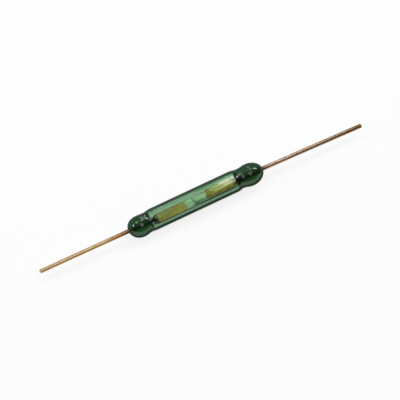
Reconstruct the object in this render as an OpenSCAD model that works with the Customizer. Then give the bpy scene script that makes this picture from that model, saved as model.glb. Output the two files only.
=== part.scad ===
// Glass reed switch: two stamped wire reeds sealed in a tube of green glass.
// The X axis runs along the glass and +Z is square to the flat blades.
// The origin is the middle of the gas space.

/* [Tube] */
// Outer diameter of the tube
tube_d = 3; // [2.8:0.05:3.6]
// Wall of the tube
tube_wall = 0.45; // [0.3:0.01:0.5]
// Length of the gas space between the two seals
cavity_length = 13; // [10:0.1:13.2]
// Radius of the rounded corner at each end of the gas space
cavity_corner = 0.65; // [0.3:0.05:0.75]
// Length over which the tube draws in to a neck
shoulder_length = 0.95; // [0.5:0.05:1.5]

/* [Left melted end] */
// Distance of the left neck from the middle
left_neck_x = 7.1; // [6.8:0.05:7.6]
// Diameter at the narrowest place of the left neck
left_neck_d = 2.78; // [2.4:0.01:2.9]
// Distance of the fullest place of the left bead from the middle
left_bead_x = 8.25; // [8:0.05:9]
// Largest diameter of the left bead
left_bead_d = 3.06; // [2.9:0.01:3.6]
// Length of the round end of the left bead
left_bead_cap = 1.85; // [1.2:0.05:2.2]

/* [Right melted end] */
// Distance of the right neck from the middle
right_neck_x = 6.8; // [6.8:0.05:7.6]
// Diameter at the narrowest place of the right neck
right_neck_d = 2.7; // [2.4:0.01:2.9]
// Distance of the fullest place of the right bead from the middle
right_bead_x = 8.3; // [8:0.05:9]
// Largest diameter of the right bead
right_bead_d = 3.14; // [2.9:0.01:3.6]
// Length of the round end of the right bead
right_bead_cap = 2; // [1.2:0.05:2.2]

/* [Wires] */
// Diameter of the bare wire in the seal
wire_d = 0.57; // [0.4:0.01:0.7]
// Thickness of the plating on the wire outside the glass
lead_plating = 0.01; // [0.005:0.001:0.03]
// Length of the left wire outside the glass
left_lead_length = 13.4; // [5:0.1:20]
// Length of the right wire outside the glass
right_lead_length = 14.9; // [5:0.1:20]
// Bend of the left wire where it leaves the glass, in degrees towards +Y
left_lead_bend = 0.6; // [-3:0.1:3]
// Bend of the right wire where it leaves the glass, in degrees towards +Y
right_lead_bend = -1.6; // [-3:0.1:3]
// Edge broken off the cut tip of each wire
tip_chamfer = 0.05; // [0.02:0.01:0.1]

/* [Blades] */
// Round wire left bare between the seal and the stamped shoulder
stub_length = 0.27; // [0.1:0.01:0.6]
// Length of the shoulder where the round wire spreads into the blade
flare_length = 0.5; // [0.3:0.05:1]
// Width of a blade
blade_w = 1.35; // [1:0.05:1.5]
// Thickness of a blade
blade_t = 0.2; // [0.12:0.01:0.26]
// Radius of the corners at a blade's tip
blade_corner = 0.15; // [0.05:0.01:0.4]

/* [Contacts] */
// Length over which the two tips overlap
contact_overlap = 0.42; // [0.2:0.02:1]
// Open gap between the two plated tips
contact_gap = 0.08; // [0.04:0.005:0.12]
// Length of the plated tip of a blade
contact_length = 1.75; // [1:0.05:2.5]
// Thickness of the plating on a tip
contact_plating = 0.02; // [0.01:0.005:0.04]

/* [Hidden] */
$fn = 96;

// Radii of the tube, its bore and the wires, and the end of the gas space
tube_r = tube_d / 2;
bore_r = tube_r - tube_wall;
wire_r = wire_d / 2;
lead_r = wire_r + lead_plating;
cavity_end = cavity_length / 2;

// Distance from the middle to each pole of the glass, where a wire leaves it
left_pole = left_bead_x + left_bead_cap;
right_pole = right_bead_x + right_bead_cap;

// Places along a reed: the end of the round wire, the root of the blade and its tip
wire_end = cavity_end - stub_length;
root_x = wire_end - flare_length;
tip_x = -contact_overlap / 2;

// The right blade lies above the middle plane and the left blade below it
blade_low = contact_gap / 2 + contact_plating;
blade_high = blade_low + blade_t;

// Stamped faces of the shoulder start this far outside the round wire
stamp_relief = 0.1 * wire_r;
// Half the size of the blocks that stamp the shoulder, larger than any reed
stamp_reach = tube_r;
// The plated wire reaches this far over the bare wire at the bend
bend_lap = 2 * lead_plating;
// Straight steps in each rounded stretch of an outline
curve_steps = 10;

glass_colour = [0.22, 0.45, 0.30, 0.5];
wire_colour = [0.76, 0.58, 0.36];
contact_colour = [0.86, 0.87, 0.84];

// Fractions from 0 to 1 along a rounded stretch
function steps() = [for (i = [0 : curve_steps]) i / curve_steps];

// Smooth rise from 0 to 1, level at both ends
function ease(u) = (1 - cos(180 * u)) / 2;

// Points [radius, x] of a smooth change of radius between two places along the glass
function blend_line(x0, r0, x1, r1) =
  [for (u = steps()) [r0 + (r1 - r0) * ease(u), x0 + (x1 - x0) * u]];

// Outside of one half, from the tube's shoulder over neck and bead to the wire
function outer_half(neck_x, neck_r, bead_x, bead_r, bead_cap) =
  let (last = acos(wire_r / bead_r))
  concat(
    blend_line(neck_x - shoulder_length, tube_r, neck_x, neck_r),
    blend_line(neck_x, neck_r, bead_x, bead_r),
    [for (u = steps()) if (u > 0) [bead_r * cos(last * u), bead_x + bead_cap * sin(last * u)]]
  );

function left_outside() =
  outer_half(left_neck_x, left_neck_d / 2, left_bead_x, left_bead_d / 2, left_bead_cap);

function right_outside() =
  outer_half(right_neck_x, right_neck_d / 2, right_bead_x, right_bead_d / 2, right_bead_cap);

// Inside of one half, from the wire round the corner of the gas space
function inner_half() =
  let (arc_r = bore_r - cavity_corner, arc_x = cavity_end - cavity_corner)
  concat(
    [[wire_r, cavity_end]],
    [for (u = steps()) [arc_r + cavity_corner * sin(90 * u), arc_x + cavity_corner * cos(90 * u)]]
  );

// The same points on the left half, in the order that closes the outline
function mirrored(points) = [for (i = [len(points) - 1 : -1 : 0]) [points[i][0], -points[i][1]]];

// Turns a shape built along +Z to lie along +X
module along_x() {
  rotate([0, 90, 0]) children();
}

// Turns a reed built for the right side round to the left, which also puts its blade below
module on_left() {
  rotate([0, 180, 0]) children();
}

// Bare wire in the seal, stamped shoulder and plated wire outside, for the right side
module wire(pole, length, bend) {
  translate([wire_end, 0, 0]) along_x() cylinder(h = pole + bend_lap - wire_end, r = wire_r);
  shoulder();
  translate([pole, 0, 0]) rotate([0, 0, bend]) along_x() plated_wire(length);
}

// Plated wire with the edge of its cut tip broken
module plated_wire(length) {
  broken_edge = [[lead_r, length - tip_chamfer], [lead_r - tip_chamfer, length]];
  rotate_extrude()
    polygon(concat([[0, 0], [lead_r, 0]], broken_edge, [[0, length]]));
}

// Round wire squeezed flat and spread to the blade's width
module shoulder() {
  start = wire_r + stamp_relief;
  half_w = blade_w / 2;
  spread_r = norm([half_w, blade_high]) + stamp_relief;
  intersection() {
    translate([wire_end, 0, 0]) rotate([0, -90, 0]) cylinder(h = flare_length, r1 = wire_r, r2 = spread_r);
    translate([0, 0, -stamp_reach])
      linear_extrude(2 * stamp_reach)
        polygon([[wire_end, start], [root_x, half_w], [root_x, -half_w], [wire_end, -start]]);
    translate([0, stamp_reach, 0]) rotate([90, 0, 0])
      linear_extrude(2 * stamp_reach)
        polygon([[wire_end, start], [root_x, blade_high], [root_x, blade_low], [wire_end, -start]]);
  }
}

// Flat strip with a round-cornered tip, from a place along the reed to its tip
module strip(from_x, to_x, width, corner) {
  half_w = width / 2;
  round_end = [for (u = steps()) [to_x + corner * (1 - sin(90 * u)), half_w - corner * (1 - cos(90 * u))]];
  far_side = [for (i = [curve_steps : -1 : 0]) [round_end[i][0], -round_end[i][1]]];
  polygon(concat([[from_x, half_w]], round_end, far_side, [[from_x, -half_w]]));
}

// Flat blade of the right side
module blade() {
  translate([0, 0, blade_low]) linear_extrude(blade_t) strip(root_x, tip_x, blade_w, blade_corner);
}

// Plating wrapped round the tip of the right blade
module contact() {
  skin = contact_plating;
  difference() {
    translate([0, 0, blade_low - skin])
      linear_extrude(blade_t + 2 * skin)
        strip(tip_x + contact_length, tip_x - skin, blade_w + 2 * skin, blade_corner + skin);
    blade();
  }
}

// One turned outline: tube, necks, beads, gas space and the seats of the two wires
module glass_envelope() {
  outside = concat(mirrored(left_outside()), right_outside());
  inside = concat(inner_half(), mirrored(inner_half()));
  color(glass_colour)
    along_x()
      rotate_extrude()
        polygon(concat(outside, inside));
}

module left_lead() {
  color(wire_colour) on_left() wire(left_pole, left_lead_length, left_lead_bend);
}

module right_lead() {
  color(wire_colour) wire(right_pole, right_lead_length, right_lead_bend);
}

module left_blade() {
  color(wire_colour) on_left() blade();
}

module right_blade() {
  color(wire_colour) blade();
}

module left_contact() {
  color(contact_colour) on_left() contact();
}

module right_contact() {
  color(contact_colour) contact();
}

glass_envelope();
left_lead();
right_lead();
left_blade();
right_blade();
left_contact();
right_contact();
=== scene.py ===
import math
import bmesh
import bpy
from mathutils import Matrix, Vector


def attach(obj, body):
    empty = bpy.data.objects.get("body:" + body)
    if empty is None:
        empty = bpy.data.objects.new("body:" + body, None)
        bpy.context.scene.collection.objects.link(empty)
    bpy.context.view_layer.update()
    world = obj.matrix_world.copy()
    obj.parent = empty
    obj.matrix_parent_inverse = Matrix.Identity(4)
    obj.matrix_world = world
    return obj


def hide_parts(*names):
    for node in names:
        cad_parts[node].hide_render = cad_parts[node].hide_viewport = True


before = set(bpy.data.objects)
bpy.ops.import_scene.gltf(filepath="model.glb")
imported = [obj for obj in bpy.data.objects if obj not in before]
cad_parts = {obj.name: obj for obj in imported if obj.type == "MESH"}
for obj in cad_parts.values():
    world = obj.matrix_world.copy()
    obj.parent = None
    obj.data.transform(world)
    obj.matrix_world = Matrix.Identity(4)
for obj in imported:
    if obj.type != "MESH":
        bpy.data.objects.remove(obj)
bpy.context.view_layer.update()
scene = bpy.context.scene
scene.view_settings.view_transform = "Standard"
mm = 0.001  # sizes are written in millimetres and multiplied by this
mergeGap = 0.0005  # closer than this, two vertices are one
noiseSpan = (0.3, 0.7)  # most of a noise pattern lies between these
mixFirst, mixSecond, mixResult = 6, 7, 2  # the colour sockets of a Mix node


def toLinear(hexText):
    parts = [int(hexText[i:i + 2], 16) / 255 for i in (0, 2, 4)]
    return [c / 12.92 if c <= 0.04045 else ((c + 0.055) / 1.055) ** 2.4 for c in parts] + [1.0]


def ease(t):
    return t * t * (3 - 2 * t)


def mix(a, b, t):
    return a + (b - a) * t


# even steps from 0 to 1, both included
def fractions(count):
    return [i / count for i in range(count + 1)]


# adds one node: settings are its own properties or its sockets, links are sockets that feed it
def addNode(tree, kind, settings=None, links=None):
    node = tree.nodes.new(kind)
    for key, value in (settings or {}).items():
        if isinstance(key, int) or key in node.inputs:
            node.inputs[key].default_value = value
        else:
            setattr(node, key, value)
    for key, source in (links or {}).items():
        tree.links.new(source, node.inputs[key])
    return node


# gives a colour ramp its stops, from pairs of place and hex colour
def setStops(ramp, pairs):
    stops, pairs = ramp.color_ramp.elements, list(pairs)
    while len(stops) < len(pairs):
        stops.new(0.5)
    for stop, (at, colour) in zip(stops, pairs):
        stop.position = at
        stop.color = toLinear(colour)


# mapping scale of a pattern that is drawn out along the switch, from the size of its marks
def streakScale(length, width):
    return (1 / (length * mm), 1 / (width * mm), 1 / (width * mm))


def newMaterial(name):
    material = bpy.data.materials.new(name)
    material.use_nodes = True
    material.node_tree.nodes.clear()
    return material, material.node_tree


# turns a finished bmesh into a piece that stands for CAD nodes and moves with their body
def finishPiece(bm, name, body, nodes, material, sharpDeg):
    bmesh.ops.remove_doubles(bm, verts=bm.verts, dist=mergeGap * mm)
    bmesh.ops.recalc_face_normals(bm, faces=bm.faces)
    mesh = bpy.data.meshes.new(name)
    bm.to_mesh(mesh)
    bm.free()
    mesh.materials.append(material)
    mesh.polygons.foreach_set("use_smooth", [True] * len(mesh.polygons))
    mesh.set_sharp_from_angle(angle=math.radians(sharpDeg))
    piece = bpy.data.objects.new(name, mesh)
    scene.collection.objects.link(piece)
    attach(piece, body)
    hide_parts(*nodes)
    print(name, len(mesh.polygons), "faces on", body)


# Materials

glassFinish = {
    "clearTint": "fbfffc",
    "hazeTint": "f1fbf4",
    "hazeSpan": (0.35, 0.65),  # of the slow roll, from haze to clear
    "paintedEdgeShade": "38503f",  # painted shade: dark green on the outside of the glass where it is seen edge on, standing in for the dark room seen through its edges
    # how squarely the wall is met where the painted edge shade is full, and where it is gone
    "edgeShadeColoured": (0.655, 0.74),
    "edgeShadeShut": (0.535, 0.66),  # where the painted edge shade also shuts out the light from behind
    "rimFrom": 1.2,  # off the axis; only the outside of the tube has the rim, not its bore
    "solidFrom": 7.4,  # from the middle; past it all glass is outside
    "absorbColour": "81c089",  # the rest of each colour is what the density takes away
    "absorbDensity": 2000.0,  # per metre
    "ior": 1.51,
    "roughness": (0.0, 0.035),
    "striaLength": 9.0,
    "striaWidth": 0.5,
    "striaDepth": 0.0018,
    "striaStrength": 0.5,
    "rollWidth": 1.4,
}


# painted shade: shares of the dark edge colour and of the light it shuts out, where the outside of the glass is
# met edge on
def addPaintedEdgeShade(tree, place):
    f = glassFinish
    # how squarely the wall is met across the tube, whatever the slant along it
    axis = addNode(tree, "ShaderNodeCombineXYZ", {"X": 1.0})
    facing = addNode(tree, "ShaderNodeLayerWeight", {"Blend": 0.5})
    slanting = addNode(tree, "ShaderNodeLayerWeight", {"Blend": 0.5}, {"Normal": axis.outputs[0]})
    met = addNode(tree, "ShaderNodeMath", {"operation": "SUBTRACT", 0: 1.0}, {1: facing.outputs["Facing"]})
    slant = addNode(tree, "ShaderNodeMath", {"operation": "SUBTRACT", 0: 1.0}, {1: slanting.outputs["Facing"]})
    slantSquare = addNode(tree, "ShaderNodeMath", {"operation": "POWER", 1: 2.0}, {0: slant.outputs[0]})
    across = addNode(tree, "ShaderNodeMath", {"operation": "SUBTRACT", 0: 1.0}, {1: slantSquare.outputs[0]})
    acrossRoot = addNode(tree, "ShaderNodeMath", {"operation": "SQRT"}, {0: across.outputs[0]})
    squarely = addNode(tree, "ShaderNodeMath", {"operation": "DIVIDE"},
                       {0: met.outputs[0], 1: acrossRoot.outputs[0]})
    # the outside is what lies off the axis, and all of the solid beads
    square = addNode(tree, "ShaderNodeVectorMath", {"operation": "MULTIPLY", 1: (0.0, 1.0, 1.0)},
                     {0: place.outputs["Object"]})
    radius = addNode(tree, "ShaderNodeVectorMath", {"operation": "LENGTH"}, {0: square.outputs["Vector"]})
    offAxis = addNode(tree, "ShaderNodeMath", {"operation": "GREATER_THAN", 1: f["rimFrom"] * mm},
                      {0: radius.outputs["Value"]})
    axes = addNode(tree, "ShaderNodeSeparateXYZ", links={"Vector": place.outputs["Object"]})
    fromMiddle = addNode(tree, "ShaderNodeMath", {"operation": "ABSOLUTE"}, {0: axes.outputs["X"]})
    inBead = addNode(tree, "ShaderNodeMath", {"operation": "GREATER_THAN", 1: f["solidFrom"] * mm},
                     {0: fromMiddle.outputs[0]})
    outside = addNode(tree, "ShaderNodeMath", {"operation": "MAXIMUM"},
                      {0: offAxis.outputs[0], 1: inBead.outputs[0]})
    shares = []
    for full, gone in (f["edgeShadeColoured"], f["edgeShadeShut"]):
        edgeOn = addNode(tree, "ShaderNodeMapRange",
                         {"interpolation_type": "SMOOTHSTEP", "From Min": full, "From Max": gone,
                          "To Min": 1.0, "To Max": 0.0},
                         {"Value": squarely.outputs[0]})
        shares.append(addNode(tree, "ShaderNodeMath", {"operation": "MULTIPLY"},
                              {0: edgeOn.outputs[0], 1: outside.outputs[0]}))
    return shares


# green infrared-absorbing glass, drawn as tube and flame melted:
# clear, deep green in thick places, with faint draw lines, and painted shade darkening its outside where it is
# seen edge on
def makeGlass():
    f = glassFinish
    material, tree = newMaterial("greenSealingGlass")
    place = addNode(tree, "ShaderNodeTexCoord")
    along = addNode(tree, "ShaderNodeMapping", {"Scale": streakScale(f["striaLength"], f["striaWidth"])},
                    {"Vector": place.outputs["Object"]})
    striae = addNode(tree, "ShaderNodeTexNoise", {"Scale": 1.0, "Detail": 3.0, "Roughness": 0.45},
                     {"Vector": along.outputs[0]})
    roll = addNode(tree, "ShaderNodeTexNoise", {"Scale": 1 / (f["rollWidth"] * mm), "Detail": 2.0},
                   {"Vector": place.outputs["Object"]})
    tint = addNode(tree, "ShaderNodeValToRGB", links={"Fac": roll.outputs["Fac"]})
    setStops(tint, zip(f["hazeSpan"], (f["hazeTint"], f["clearTint"])))
    coloured, shut = addPaintedEdgeShade(tree, place)
    # painted shade: the dark edge colour laid over the glass tint, and the light from behind shut off where it
    # lies
    rim = addNode(tree, "ShaderNodeMix", {"data_type": "RGBA", mixSecond: toLinear(f["paintedEdgeShade"])},
                  {0: coloured.outputs[0], mixFirst: tint.outputs[0]})
    clear = addNode(tree, "ShaderNodeMath", {"operation": "SUBTRACT", 0: 1.0}, {1: shut.outputs[0]})
    polish = addNode(tree, "ShaderNodeMapRange",
                     {"From Min": noiseSpan[0], "From Max": noiseSpan[1],
                      "To Min": f["roughness"][0], "To Max": f["roughness"][1]},
                     {"Value": roll.outputs["Fac"]})
    ripple = addNode(tree, "ShaderNodeBump", {"Strength": f["striaStrength"], "Distance": f["striaDepth"] * mm},
                     {"Height": striae.outputs["Fac"]})
    shader = addNode(tree, "ShaderNodeBsdfPrincipled",
                     {"Metallic": 0.0, "IOR": f["ior"], "Transmission Weight": 1.0, "Specular IOR Level": 0.0},
                     {"Base Color": rim.outputs[mixResult], "Roughness": polish.outputs[0],
                      "Normal": ripple.outputs[0], "Transmission Weight": clear.outputs[0]})
    depth = addNode(tree, "ShaderNodeVolumeAbsorption",
                    {"Color": toLinear(f["absorbColour"]), "Density": f["absorbDensity"]})
    addNode(tree, "ShaderNodeOutputMaterial", links={"Surface": shader.outputs[0], "Volume": depth.outputs[0]})
    return material


wireFinish = {
    "drawLength": 7.0,
    "drawWidth": 0.12,  # real draw lines are finer, this is as fine as shows
    "drawDepth": 0.0003,
    "drawStrength": 0.3,
    "roughness": (0.24, 0.27),
    "cloud": 1.3,
    "cloudTint": "eddccb",
    "cloudSpan": (0.35, 0.65),  # of the cloud pattern, from none to full
    "stampedTo": 5.7,
    "drawnFrom": 6.3,
    "drawnClouds": 0.4,  # the round wire is evener than the stamped blades
    # colour along the switch: bright blades, green-black oxide in the seals, gold wires; the right wire is
    # coloured darker and browner than the left, more so towards its end, as painted shade for the darker room it
    # reflects
    "along": [
        (-25, "d2b286"), (-14, "d2b286"), (-11.5, "b3865c"), (-10.3, "7a5a3c"), (-9.8, "4a5a46"),
        (-9.0, "7c8a78"), (-7.5, "7c8a78"), (-7.0, "343a2b"), (-6.1, "343a2b"), (-5.6, "d8ac74"),
        (5.6, "d8ac74"), (6.1, "343a2b"), (6.9, "343a2b"), (7.4, "7c8a78"), (9.0, "7c8a78"),
        # from 11.3 on, the right wire's stops are painted shade, darker towards its end
        (9.9, "4a5a46"), (10.4, "7a5a3c"), (11.3, "ae937d"), (18, "a2886f"), (25, "876748"),
    ],
    "reach": 26.0,  # from the middle to each end of that list's ramp
    "wander": 0.5,  # how far its borders stray
}


# nickel-iron wire, drawn, stamped and gold flashed: warm satin metal, browned where the flame reached it, with
# painted shade darkening the right wire towards its end
def makeWire():
    f = wireFinish
    material, tree = newMaterial("goldFlashedNickelIron")
    place = addNode(tree, "ShaderNodeTexCoord")
    along = addNode(tree, "ShaderNodeMapping", {"Scale": streakScale(f["drawLength"], f["drawWidth"])},
                    {"Vector": place.outputs["Object"]})
    lines = addNode(tree, "ShaderNodeTexNoise", {"Scale": 1.0, "Detail": 2.0, "Roughness": 0.5},
                    {"Vector": along.outputs[0]})
    cloud = addNode(tree, "ShaderNodeTexNoise", {"Scale": 1 / (f["cloud"] * mm), "Detail": 2.0, "Roughness": 0.45},
                    {"Vector": place.outputs["Object"]})
    axes = addNode(tree, "ShaderNodeSeparateXYZ", links={"Vector": place.outputs["Object"]})
    wander = addNode(tree, "ShaderNodeMath", {"operation": "MULTIPLY_ADD", 1: f["wander"] * mm},
                     {0: cloud.outputs["Fac"], 2: axes.outputs["X"]})
    stray = f["wander"] / 2
    reach = addNode(tree, "ShaderNodeMapRange",
                    {"From Min": (stray - f["reach"]) * mm, "From Max": (stray + f["reach"]) * mm},
                    {"Value": wander.outputs[0]})
    plating = addNode(tree, "ShaderNodeValToRGB", links={"Fac": reach.outputs[0]})
    setStops(plating, [((x / f["reach"] + 1) / 2, colour) for x, colour in f["along"]])
    clouding = addNode(tree, "ShaderNodeMapRange",
                       {"From Min": f["cloudSpan"][0], "From Max": f["cloudSpan"][1]},
                       {"Value": cloud.outputs["Fac"]})
    fromMiddle = addNode(tree, "ShaderNodeMath", {"operation": "ABSOLUTE"}, {0: axes.outputs["X"]})
    stamped = addNode(tree, "ShaderNodeMapRange",
                      {"From Min": f["stampedTo"] * mm, "From Max": f["drawnFrom"] * mm,
                       "To Min": 1.0, "To Max": f["drawnClouds"]},
                      {"Value": fromMiddle.outputs[0]})
    clouds = addNode(tree, "ShaderNodeMath", {"operation": "MULTIPLY"},
                     {0: clouding.outputs[0], 1: stamped.outputs[0]})
    colour = addNode(tree, "ShaderNodeMix",
                     {"data_type": "RGBA", "blend_type": "MULTIPLY", mixSecond: toLinear(f["cloudTint"])},
                     {0: clouds.outputs[0], mixFirst: plating.outputs[0]})
    satin = addNode(tree, "ShaderNodeMapRange",
                    {"From Min": noiseSpan[0], "From Max": noiseSpan[1],
                     "To Min": f["roughness"][0], "To Max": f["roughness"][1]},
                    {"Value": cloud.outputs["Fac"]})
    drawn = addNode(tree, "ShaderNodeBump", {"Strength": f["drawStrength"], "Distance": f["drawDepth"] * mm},
                    {"Height": lines.outputs["Fac"]})
    shader = addNode(tree, "ShaderNodeBsdfPrincipled", {"Metallic": 1.0},
                     {"Base Color": colour.outputs[mixResult], "Roughness": satin.outputs[0],
                      "Normal": drawn.outputs[0]})
    addNode(tree, "ShaderNodeOutputMaterial", links={"Surface": shader.outputs[0]})
    return material


tipFinish = {
    "pale": "d2cfc8",
    "grey": "b0afaa",
    "cloud": 0.5,
    "cloudSpan": (0.3, 0.6),  # of the cloud pattern, from grey to pale
    "roughness": (0.22, 0.27),
    "grain": 0.06,
    "grainDepth": 0.0001,
    "grainStrength": 0.4,
}


# rhodium-like electroplating on the contact tips: pale neutral metal with a fine matt grain
def makeTip():
    f = tipFinish
    material, tree = newMaterial("paleContactPlating")
    place = addNode(tree, "ShaderNodeTexCoord")
    grain = addNode(tree, "ShaderNodeTexNoise", {"Scale": 1 / (f["grain"] * mm), "Detail": 3.0},
                    {"Vector": place.outputs["Object"]})
    cloud = addNode(tree, "ShaderNodeTexNoise", {"Scale": 1 / (f["cloud"] * mm), "Detail": 3.0},
                    {"Vector": place.outputs["Object"]})
    colour = addNode(tree, "ShaderNodeValToRGB", links={"Fac": cloud.outputs["Fac"]})
    setStops(colour, zip(f["cloudSpan"], (f["grey"], f["pale"])))
    satin = addNode(tree, "ShaderNodeMapRange",
                    {"From Min": noiseSpan[0], "From Max": noiseSpan[1],
                     "To Min": f["roughness"][0], "To Max": f["roughness"][1]},
                    {"Value": cloud.outputs["Fac"]})
    matt = addNode(tree, "ShaderNodeBump", {"Strength": f["grainStrength"], "Distance": f["grainDepth"] * mm},
                   {"Height": grain.outputs["Fac"]})
    shader = addNode(tree, "ShaderNodeBsdfPrincipled", {"Metallic": 1.0},
                     {"Base Color": colour.outputs[0], "Roughness": satin.outputs[0], "Normal": matt.outputs[0]})
    addNode(tree, "ShaderNodeOutputMaterial", links={"Surface": shader.outputs[0]})
    return material


greenGlass = makeGlass()
platedWire = makeWire()
contactPlating = makeTip()
print("materials made")

# Glass envelope

glassShape = {
    "tubeR": 1.5,
    "boreR": 1.05,
    "seatR": 0.27,  # a little inside the wire, so that glass and metal never share a face
    "cavityEnd": {-1: 7.1, 1: 6.5},
    "cavityCorner": 0.65,
    "shoulder": 0.95,
    "turnSteps": 96,
    "curveSteps": 18,
    "sharpDeg": 50,
    "sagSide": (0.0, -0.89, -0.45),  # the side to which the melted ends sank
    "tubeLift": 0.072,  # the tube sits this far off the line of the wires, to the other side
    "heldR": 0.5,  # nearer to the wire than this, a bead stays where it is
    "hair": 0.01,  # allowance when a vertex is told by its radius or its place
    # the two melted ends, each as the flame left it
    -1: {"neckX": 7.1, "neckR": 1.4, "neckLift": 0.01,
         "beadX": 8.25, "beadR": 1.52, "beadCap": 1.85, "bluntness": 2.35, "beadSag": 0.05},
    1: {"neckX": 6.8, "neckR": 1.36, "neckLift": 0.02,
        "beadX": 8.3, "beadR": 1.56, "beadCap": 2.0, "bluntness": 2.0, "beadSag": 0.0},
}


# half of the outline as (x, r) pairs, from the middle of the tube over the bead and back along the bore
def halfOutline(side):
    g, end = glassShape, glassShape[side]
    steps = fractions(g["curveSteps"])
    lastTurn = math.acos(g["seatR"] / end["beadR"])
    blunt = 2 / end["bluntness"]  # 1 is an ellipse, less is fuller
    corner = g["cavityCorner"]
    innerR, innerX = g["boreR"] - corner, g["cavityEnd"][side] - corner
    outline = [(0.0, g["tubeR"])]
    for t in steps:  # tube to neck
        x = mix(end["neckX"] - g["shoulder"], end["neckX"], t)
        outline.append((x, mix(g["tubeR"], end["neckR"], ease(t))))
    for t in steps[1:]:  # neck to bead
        outline.append((mix(end["neckX"], end["beadX"], t), mix(end["neckR"], end["beadR"], ease(t))))
    for t in steps[1:]:  # round end of the bead
        turn = lastTurn * t
        outline.append((end["beadX"] + end["beadCap"] * math.sin(turn) ** blunt, end["beadR"] * math.cos(turn)))
    outline.append((g["cavityEnd"][side], g["seatR"]))
    for t in steps:  # end of the gas space and its round corner
        turn = math.pi / 2 * t
        outline.append((innerX + corner * math.cos(turn), innerR + corner * math.sin(turn)))
    outline.append((0.0, g["boreR"]))
    return [(x * side, r) for x, r in outline]


def makeEnvelope():
    g = glassShape
    bm = bmesh.new()
    for side in (-1, 1):
        verts = [bm.verts.new((x * mm, 0, r * mm)) for x, r in halfOutline(side)]
        edges = [bm.edges.new(pair) for pair in zip(verts, verts[1:])]
        bmesh.ops.spin(bm, geom=verts + edges, cent=(0, 0, 0), axis=(1, 0, 0), dvec=(0, 0, 0),
                       angle=2 * math.pi, steps=g["turnSteps"], use_merge=True)
    # the flame let the ends sink: the neck stays high and the bead hangs a little
    sag = Vector(g["sagSide"]).normalized()
    for v in bm.verts:
        side = 1 if v.co.x > 0 else -1
        end = g[side]
        x, r = abs(v.co.x) / mm, math.hypot(v.co.y, v.co.z) / mm
        inBead = x > g["cavityEnd"][side] + g["hair"]
        if r < g["seatR"] + g["hair"] or (r < g["heldR"] and inBead):
            continue  # the glass stays on the wire
        shoulderX = end["neckX"] - g["shoulder"]
        towardsTube = (end["beadX"] - x) / (end["beadX"] - shoulderX)
        move = -g["tubeLift"] * ease(min(1.0, max(0.0, towardsTube)))
        if r > g["boreR"] + g["hair"] or inBead:
            move -= end["neckLift"] * ease(max(0.0, 1 - abs(x - end["neckX"]) / g["shoulder"]))
            move += end["beadSag"] * ease(max(0.0, 1 - abs(x - end["beadX"]) / end["beadCap"]))
        v.co += sag * move * mm
    finishPiece(bm, "glassEnvelope", "envelope", ["glass_envelope"], greenGlass, g["sharpDeg"])


makeEnvelope()

# Reeds: wire, stamped shoulder and blade

reedShape = {
    "sealedR": 0.285,
    "platedR": 0.295,
    "tipBreak": 0.05,
    "glassEnd": {-1: 10.1, 1: 10.3},
    "sealLap": 0.1,  # the bare wire starts this far inside the glass
    "wireEnd": 6.23,
    "rootX": 5.73,
    "rootGap": 0.002,  # hairline that lets the blade turn clear of its shoulder
    "spreadEase": 0.5,  # the shoulder spreads straight at 0 and softly at 1
    "tipX": -0.21,
    "bladeHalfW": 0.675,
    "bladeHalfT": 0.1,
    "bladeZ": 0.16,
    "bladeCorner": 0.15,
    "tipRound": 0.55,  # share of the thickness that rounds off at the tip
    "roundness": 2.0,  # a section of this squareness is round
    "flatness": 14.0,  # higher is squarer
    # share of the thickness that the stamping takes from the middle of a blade, on its outer and inner face
    "hollow": {-1: (0.0, 0.4), 1: (0.85, 0.0)},
    "length": {-1: 13.398, 1: 14.898},  # outside the glass
    "bendDeg": {-1: 0.6, 1: -1.6},
    "ringVerts": 40,
    "leadSteps": 16,
    "sealSteps": 6,
    "shoulderSteps": 14,
    "bladeSteps": 20,
    "cornerSteps": 8,
    "sharpDeg": 40,
}


# a ring is (place, half width, half thickness, squareness, hollows); each is extruded from the last and shaped
def sweepRings(rings):
    bm = bmesh.new()
    turn = bm.verts.layers.float.new("turn")
    made = bmesh.ops.create_circle(bm, cap_ends=False, segments=reedShape["ringVerts"], radius=1.0)["verts"]
    for v in made:
        v[turn] = math.atan2(v.co.y, v.co.x)
    edges = list({e for v in made for e in v.link_edges})
    firstEdges = edges
    for i, (place, halfW, halfT, power, hollows) in enumerate(rings):
        if i:
            geom = bmesh.ops.extrude_edge_only(bm, edges=edges)["geom"]
            made = [x for x in geom if isinstance(x, bmesh.types.BMVert)]
            edges = [x for x in geom if isinstance(x, bmesh.types.BMEdge)]
        for v in made:
            c, s = math.cos(v[turn]), math.sin(v[turn])
            across = math.copysign(abs(c) ** (2 / power), c)
            dip = hollows[0 if s > 0 else 1] * (1 - across * across)
            up = halfT * math.copysign(abs(s) ** (2 / power), s) * (1 - dip)
            v.co = (place @ Vector((0, halfW * across, up))) * mm
    bmesh.ops.contextual_create(bm, geom=firstEdges)
    bmesh.ops.contextual_create(bm, geom=edges)
    return bm


def roundRing(place, r):
    return (place, r, r, reedShape["roundness"], (0, 0))


def sideTurn(side):
    return Matrix.Rotation(math.pi if side < 0 else 0, 4, "Y")  # the left reed is the right one turned over


def placeAt(x, z=0):
    return Matrix.Translation((x, 0, z))


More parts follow.
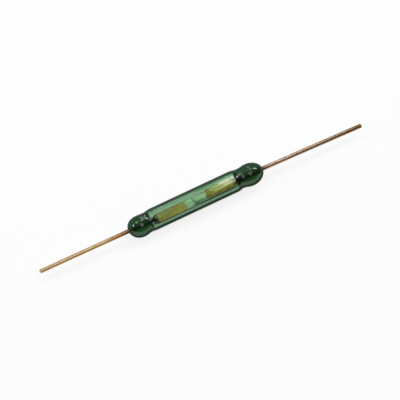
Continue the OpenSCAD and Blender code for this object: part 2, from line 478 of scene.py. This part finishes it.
def makeLead(side, name, node):
    s = reedShape
    length, glassEnd = s["length"][side], s["glassEnd"][side]
    turned = sideTurn(side)
    bent = turned @ placeAt(glassEnd) @ Matrix.Rotation(math.radians(s["bendDeg"][side]), 4, "Z")
    rings = [roundRing(bent @ placeAt(length), s["platedR"] - s["tipBreak"])]
    for t in fractions(s["leadSteps"]):
        x = (length - s["tipBreak"]) * (1 - t)
        rings.append(roundRing(bent @ placeAt(x), s["platedR"]))
    for t in fractions(s["sealSteps"]):  # sealed in the bead
        x = mix(glassEnd - s["sealLap"], s["wireEnd"], t)
        rings.append(roundRing(turned @ placeAt(x), s["sealedR"]))
    for t in fractions(s["shoulderSteps"])[1:]:  # stamped shoulder
        x, u = mix(s["wireEnd"], s["rootX"], t), ease(t)
        spread = mix(t, u, s["spreadEase"])
        rings.append((turned @ placeAt(x, s["bladeZ"] * u),
                      mix(s["sealedR"], s["bladeHalfW"], spread), mix(s["sealedR"], s["bladeHalfT"], spread),
                      mix(s["roundness"], s["flatness"], u), [h * u for h in s["hollow"][side]]))
    finishPiece(sweepRings(rings), name, "envelope", [node], platedWire, s["sharpDeg"])


def bladeRings(side, fromX, toX, halfW, halfT, corner):
    s = reedShape
    turned = sideTurn(side)
    rings = []
    for t in fractions(s["bladeSteps"]):
        x = mix(fromX, toX + corner, t)
        rings.append((turned @ placeAt(x, s["bladeZ"]), halfW, halfT, s["flatness"], s["hollow"][side]))
    for t in fractions(s["cornerSteps"])[1:]:  # round corners of the tip
        a = math.pi / 2 * t
        x = toX + corner * (1 - math.sin(a))
        rings.append((turned @ placeAt(x, s["bladeZ"]), halfW - corner * (1 - math.cos(a)),
                      halfT * (1 - s["tipRound"] * (1 - math.cos(a)) ** 2), s["flatness"], s["hollow"][side]))
    return rings


def makeBlade(side, name, body, node):
    s = reedShape
    rings = bladeRings(side, s["rootX"] - s["rootGap"], s["tipX"],
                       s["bladeHalfW"], s["bladeHalfT"], s["bladeCorner"])
    finishPiece(sweepRings(rings), name, body, [node], platedWire, s["sharpDeg"])


tipShape = {
    "length": 1.75,
    "skin": 0.02,
    "feather": 0.03,  # length over which the plating thins out
    "edgeSkin": 0.002,  # what is left of it at its edge
}


def makeContact(side, name, body, node):
    s, c = reedShape, tipShape
    start = s["tipX"] + c["length"]
    edge = (sideTurn(side) @ placeAt(start, s["bladeZ"]), s["bladeHalfW"] + c["edgeSkin"],
            s["bladeHalfT"] + c["edgeSkin"], s["flatness"], s["hollow"][side])
    rings = bladeRings(side, start - c["feather"], s["tipX"] - c["skin"], s["bladeHalfW"] + c["skin"],
                       s["bladeHalfT"] + c["skin"], s["bladeCorner"] + c["skin"])
    finishPiece(sweepRings([edge] + rings), name, body, [node], contactPlating, s["sharpDeg"])


for side, word in ((-1, "left"), (1, "right")):
    makeLead(side, word + "Lead", word + "_lead")
    makeBlade(side, word + "Blade", word + "_reed", word + "_blade")
    makeContact(side, word + "Contact", word + "_reed", word + "_contact")

# Floor, light and camera

floorSet = {
    "z": -1.575,
    "r": 1500.0,
    "segments": 64,
    "colour": "ffffff",
    "backdropShare": 0.85,  # of the floor's white that is backdrop and takes no shadow
    # the strip under the glass is plain card; each pair is where it starts to fade and where it is gone
    "stripFront": (-0.75, -0.93),
    "stripBack": (0.9, 2.0),
    "stripEnds": (6.0, 7.4),
}


# matt white card: plain white to the camera, in reflections and through glass, with a faint shadow
def makeCard():
    s = floorSet
    material, tree = newMaterial("mattWhiteCard")
    card = addNode(tree, "ShaderNodeBsdfPrincipled",
                   {"Base Color": toLinear(s["colour"]), "Roughness": 1.0, "Specular IOR Level": 0.0})
    white = addNode(tree, "ShaderNodeEmission", {"Color": toLinear(s["colour"]), "Strength": 1.0})
    path = addNode(tree, "ShaderNodeLightPath")
    mirrored = addNode(tree, "ShaderNodeMath", {"operation": "MAXIMUM"},
                       {0: path.outputs["Is Camera Ray"], 1: path.outputs["Is Glossy Ray"]})
    seen = addNode(tree, "ShaderNodeMath", {"operation": "MAXIMUM"},
                   {0: mirrored.outputs[0], 1: path.outputs["Is Transmission Ray"]})
    place = addNode(tree, "ShaderNodeTexCoord")
    axes = addNode(tree, "ShaderNodeSeparateXYZ", links={"Vector": place.outputs["Object"]})
    fromMiddle = addNode(tree, "ShaderNodeMath", {"operation": "ABSOLUTE"}, {0: axes.outputs["X"]})
    under = []
    for key, source in (("stripFront", axes.outputs["Y"]), ("stripBack", axes.outputs["Y"]),
                        ("stripEnds", fromMiddle.outputs[0])):
        full, gone = s[key]
        low, high = sorted((full, gone))
        under.append(addNode(tree, "ShaderNodeMapRange",
                             {"interpolation_type": "SMOOTHSTEP", "From Min": low * mm, "From Max": high * mm,
                              "To Min": float(full == low), "To Max": float(full == high)},
                             {"Value": source}))
    sides = addNode(tree, "ShaderNodeMath", {"operation": "MULTIPLY"},
                    {0: under[0].outputs[0], 1: under[1].outputs[0]})
    strip = addNode(tree, "ShaderNodeMath", {"operation": "MULTIPLY"},
                    {0: sides.outputs[0], 1: under[2].outputs[0]})
    clearOf = addNode(tree, "ShaderNodeMapRange", {"To Min": s["backdropShare"], "To Max": 0.0},
                      {"Value": strip.outputs[0]})
    share = addNode(tree, "ShaderNodeMath", {"operation": "MULTIPLY"},
                    {0: seen.outputs[0], 1: clearOf.outputs[0]})
    shader = addNode(tree, "ShaderNodeMixShader",
                     links={0: share.outputs[0], 1: card.outputs[0], 2: white.outputs[0]})
    addNode(tree, "ShaderNodeOutputMaterial", links={"Surface": shader.outputs[0]})
    return material


def makeFloor():
    s = floorSet
    bm = bmesh.new()
    bmesh.ops.create_circle(bm, cap_ends=True, segments=s["segments"], radius=s["r"] * mm,
                            matrix=Matrix.Translation((0, 0, s["z"] * mm)))
    mesh = bpy.data.meshes.new("studioFloor")
    bm.to_mesh(mesh)
    bm.free()
    mesh.materials.append(makeCard())
    floor = bpy.data.objects.new("studioFloor", mesh)
    scene.collection.objects.link(floor)
    print("floor made")


roomSet = {
    "back": "a1a2a3",  # pale room overhead and behind
    "front": "4b4b4b",  # darker room in front
    "towards": (0.0, 0.75, 0.66),  # the pale side
    "fade": (0.1, 0.6),  # how far towards it the room starts to pale, and where it is full
}


def makeRoom():
    s = roomSet
    world = bpy.data.worlds.new("softStudio")
    world.use_nodes = True
    world.node_tree.nodes.clear()
    tree = world.node_tree
    way = addNode(tree, "ShaderNodeTexCoord")
    towards = addNode(tree, "ShaderNodeVectorMath", {"operation": "DOT_PRODUCT", 1: s["towards"]},
                      {0: way.outputs["Generated"]})
    behind = addNode(tree, "ShaderNodeMapRange",
                     {"interpolation_type": "SMOOTHSTEP", "From Min": s["fade"][0], "From Max": s["fade"][1]},
                     {"Value": towards.outputs["Value"]})
    tone = addNode(tree, "ShaderNodeMix",
                   {"data_type": "RGBA", mixFirst: toLinear(s["front"]), mixSecond: toLinear(s["back"])},
                   {0: behind.outputs[0]})
    sky = addNode(tree, "ShaderNodeBackground", {"Strength": 1.0}, {"Color": tone.outputs[mixResult]})
    addNode(tree, "ShaderNodeOutputWorld", links={"Surface": sky.outputs[0]})
    scene.world = world
    print("room made")


lampSet = {
    "keyStrip": {"at": (47.4, 52.5, 150), "size": (5, 67), "radiance": 9.2},
    "keyTail": {"at": (47.4, -38, 150), "size": (5, 114), "radiance": 4.5},
    "keySide": {"at": (63, 78, 150), "size": (14, 50), "radiance": 4.8},
    "keyDot": {"at": (82, 25, 150), "size": (6, 12), "radiance": 30.0},
    "ceilingSoftbox": {"at": (13, -50, 150), "size": (31, 108), "radiance": 1.8},
    "backSoftbox": {"at": (23, 66, 146), "size": (39, 40), "radiance": 0.95},
    "tipFill": {"at": (-41, 76, 150), "size": (44, 60), "radiance": 4.0},
    "farTube": {"at": (65.5, 248, 150), "size": (11, 60), "radiance": 2.0},
    "farBead": {"at": (79.5, 248, 150), "size": (4, 60), "radiance": 2.0},
    "farLead": {"at": (92, 248, 150), "size": (16, 60), "radiance": 6.0},
    "leftSoftbox": {"at": (-197, 71, 149), "size": (75, 75), "radiance": 10.0},
    "rightSoftbox": {"at": (180, 43, 177), "size": (75, 75), "radiance": 9.0},
}
sideOn = 0.8  # past this share of its distance along the switch, a lamp is turned to lie across it


def makeLamps():
    for name, lamp in lampSet.items():
        data = bpy.data.lights.new(name, "AREA")
        data.shape = "RECTANGLE"
        data.size, data.size_y = lamp["size"][0] * mm, lamp["size"][1] * mm
        data.energy = lamp["radiance"] * math.pi * data.size * data.size_y
        light = bpy.data.objects.new(name, data)
        light.location = Vector(lamp["at"]) * mm
        back = light.location.normalized()  # every lamp faces the middle of the switch
        right = Vector((0, 1, 0)) if abs(back.x) > sideOn else Vector((1, 0, 0))
        right = (right - back * right.dot(back)).normalized()
        light.rotation_euler = Matrix((right, back.cross(right), back)).transposed().to_euler()
        scene.collection.objects.link(light)
    print("lamps made:", len(lampSet))


makeFloor()
makeRoom()
makeLamps()

cameraSet = {
    "azimuthDeg": -28.4,
    "elevationDeg": 60.0,
    "lens": 1200.0,
    "sensor": 36.0,
    "clip": (0.01, 10.0),  # metres
    "pixelsPerMm": 7.45,
    "imageSide": 400,
    "originAt": (194.98, 200.2),  # where the middle of the glass falls in the picture
}


def makeCamera():
    c = cameraSet
    az, el = math.radians(c["azimuthDeg"]), math.radians(c["elevationDeg"])
    back = Vector((math.sin(az) * math.cos(el), -math.cos(az) * math.cos(el), math.sin(el)))
    right = Vector((math.cos(az), math.sin(az), 0))
    up = back.cross(right)
    half = c["imageSide"] / 2
    aim = (right * (half - c["originAt"][0]) + up * (c["originAt"][1] - half)) / c["pixelsPerMm"]
    distance = c["imageSide"] / c["pixelsPerMm"] * c["lens"] / c["sensor"]
    data = bpy.data.cameras.new("studioCamera")
    data.lens, data.sensor_width = c["lens"], c["sensor"]
    data.clip_start, data.clip_end = c["clip"]
    camera = bpy.data.objects.new("studioCamera", data)
    camera.location = (aim + back * distance) * mm
    camera.rotation_euler = back.to_track_quat("Z", "Y").to_euler()
    scene.collection.objects.link(camera)
    scene.camera = camera
    print("camera at", [round(x, 4) for x in camera.location])


makeCamera()
